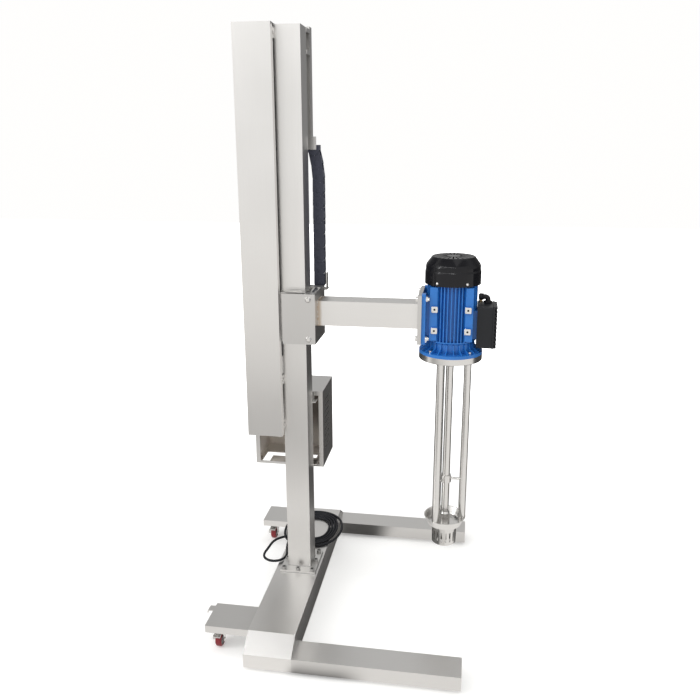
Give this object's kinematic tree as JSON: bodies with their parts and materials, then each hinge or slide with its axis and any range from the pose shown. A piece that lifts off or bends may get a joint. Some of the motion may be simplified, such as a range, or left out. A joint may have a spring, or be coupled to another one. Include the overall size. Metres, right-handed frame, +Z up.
{
  "type": "high shear mixer",
  "caption": "Mobile high shear mixer: U-shaped base on casters, square column with screw lift, cantilever arm, flanged motor and rotor-stator head on support rods.",
  "frame": {"origin": "on the floor, under the middle of the machine's bounding box", "axes": "+Z up, +X along the arm and the legs towards the mixing head, +Y towards the control box"},
  "size_m": [0.888, 0.928, 1.891],
  "materials": {
    "stainless_steel": "brushed satin",
    "bright_steel": "bright",
    "caster_metal": "zinc plated",
    "caster_tread": "dark red polyurethane",
    "motor_blue": "semi-gloss paint",
    "cowl_black": "semi-gloss paint",
    "box_black": "satin",
    "gland_black": "matte",
    "fan_plastic": "matte",
    "rotor_iron": "machined",
    "drive_aluminium": "cast",
    "pad_plastic": "machined",
    "nut_bronze": "machined",
    "chain_plastic": "satin",
    "foot_rubber": "matte",
    "cord_rubber": "satin",
    "plug_rubber": "satin",
    "stop_red": "gloss",
    "knob_black": "satin"
  },
  "bodies": {
    "stand": {"crossbeam": "stainless_steel", "right_leg": "stainless_steel", "left_leg": "stainless_steel", "right_outrigger": "stainless_steel", "left_outrigger": "stainless_steel", "floor_feet": "foot_rubber", "column": "stainless_steel", "column_base_plate": "stainless_steel", "base_plate_bolts": "bright_steel", "rear_cover": "stainless_steel", "cover_screws": "bright_steel", "drive_mount": "stainless_steel", "lift_gearmotor": "drive_aluminium", "screw_bearings": "stainless_steel", "cable_duct": "stainless_steel", "control_box": "stainless_steel", "control_box_mount": "stainless_steel", "cord_gland": "gland_black", "power_cord": "cord_rubber", "cord_coil": "cord_rubber", "mains_plug": "plug_rubber", "cable_chain": "chain_plastic"},
    "carriage": {"carriage_housing": "stainless_steel", "carriage_frame": "stainless_steel", "roller_axles": "stainless_steel", "guide_pads": "pad_plastic", "lift_nut": "nut_bronze", "arm": "stainless_steel", "arm_end_plate": "stainless_steel", "motor_bolts": "bright_steel", "motor_frame": "motor_blue", "motor_flange": "motor_blue", "fan_cowl": "cowl_black", "terminal_box": "box_black", "terminal_box_lid": "box_black", "cable_glands": "gland_black", "mounting_disc": "stainless_steel", "support_rods": "stainless_steel", "seal_housing": "stainless_steel", "mid_spider": "stainless_steel", "guide_dish": "stainless_steel", "stator": "stainless_steel", "chain_bracket": "stainless_steel"},
    "lift_spindle": {"lead_screw": "stainless_steel", "screw_coupling": "stainless_steel"},
    "mixer_rotor": {"motor_rotor": "rotor_iron", "cooling_fan": "fan_plastic", "mixer_shaft": "stainless_steel", "rotor_head": "stainless_steel"},
    "upper_guide_roller": {"upper_roller": "stainless_steel"},
    "lower_guide_roller": {"lower_roller": "stainless_steel"},
    "right_caster": {"right_caster_fork": "caster_metal"},
    "left_caster": {"left_caster_fork": "caster_metal"},
    "right_wheel": {"right_caster_wheel": "caster_tread"},
    "left_wheel": {"left_caster_wheel": "caster_tread"},
    "right_pedal": {"right_brake_pedal": "caster_metal"},
    "left_pedal": {"left_brake_pedal": "caster_metal"},
    "stop_button": {"emergency_stop": "stop_red"},
    "lift_selector": {"lift_switch": "knob_black"},
    "speed_dial": {"speed_knob": "knob_black"}
  },
  "joints": [
    {"name": "lift", "type": "slide", "parent": "stand", "child": "carriage", "axis": [0, 0, 1], "range_m": [0, 0.43], "deforming": ["cable_chain"]},
    {"name": "screw_turn", "type": "hinge", "parent": "stand", "child": "lift_spindle", "pos_m": [-0.298, 0, 1.3], "axis": [0, 0, 1], "continuous": true},
    {"name": "upper_roller_turn", "type": "hinge", "parent": "carriage", "child": "upper_guide_roller", "pos_m": [-0.1408, 0, 1.079], "axis": [0, 1, 0], "continuous": true},
    {"name": "lower_roller_turn", "type": "hinge", "parent": "carriage", "child": "lower_guide_roller", "pos_m": [-0.1408, 0, 0.951], "axis": [0, 1, 0], "continuous": true},
    {"name": "rotor_turn", "type": "hinge", "parent": "carriage", "child": "mixer_rotor", "pos_m": [0.304, 0, 0.9], "axis": [0, 0, 1], "continuous": true},
    {"name": "right_caster_swivel", "type": "hinge", "parent": "stand", "child": "right_caster", "pos_m": [-0.386, -0.339, 0.07], "axis": [0, 0, 1], "continuous": true},
    {"name": "right_wheel_roll", "type": "hinge", "parent": "right_caster", "child": "right_wheel", "pos_m": [-0.386, -0.357, 0.025], "axis": [1, 0, 0], "continuous": true},
    {"name": "right_brake", "type": "hinge", "parent": "right_caster", "child": "right_pedal", "pos_m": [-0.386, -0.348, 0.0585], "axis": [1, 0, 0], "range_deg": [0, 10]},
    {"name": "left_caster_swivel", "type": "hinge", "parent": "stand", "child": "left_caster", "pos_m": [-0.386, 0.339, 0.07], "axis": [0, 0, 1], "continuous": true},
    {"name": "left_wheel_roll", "type": "hinge", "parent": "left_caster", "child": "left_wheel", "pos_m": [-0.386, 0.321, 0.025], "axis": [1, 0, 0], "continuous": true},
    {"name": "left_brake", "type": "hinge", "parent": "left_caster", "child": "left_pedal", "pos_m": [-0.386, 0.33, 0.0585], "axis": [1, 0, 0], "range_deg": [0, 10]},
    {"name": "stop_press", "type": "slide", "parent": "stand", "child": "stop_button", "axis": [0, -1, 0], "range_m": [0, 0.004]},
    {"name": "lift_select", "type": "hinge", "parent": "stand", "child": "lift_selector", "pos_m": [-0.238, 0.262, 0.6], "axis": [0, 1, 0], "range_deg": [-40, 40], "stiffness_Nm_per_rad": 0.05},
    {"name": "speed_turn", "type": "hinge", "parent": "stand", "child": "speed_dial", "pos_m": [-0.238, 0.262, 0.54], "axis": [0, 1, 0], "range_deg": [0, 270]}
  ],
  "couplings": [
    {"joint": "screw_turn", "follows": "lift", "rad_per_m": 628.32},
    {"joint": "upper_roller_turn", "follows": "lift", "rad_per_m": -58.139},
    {"joint": "lower_roller_turn", "follows": "lift", "rad_per_m": -58.139}
  ]
}
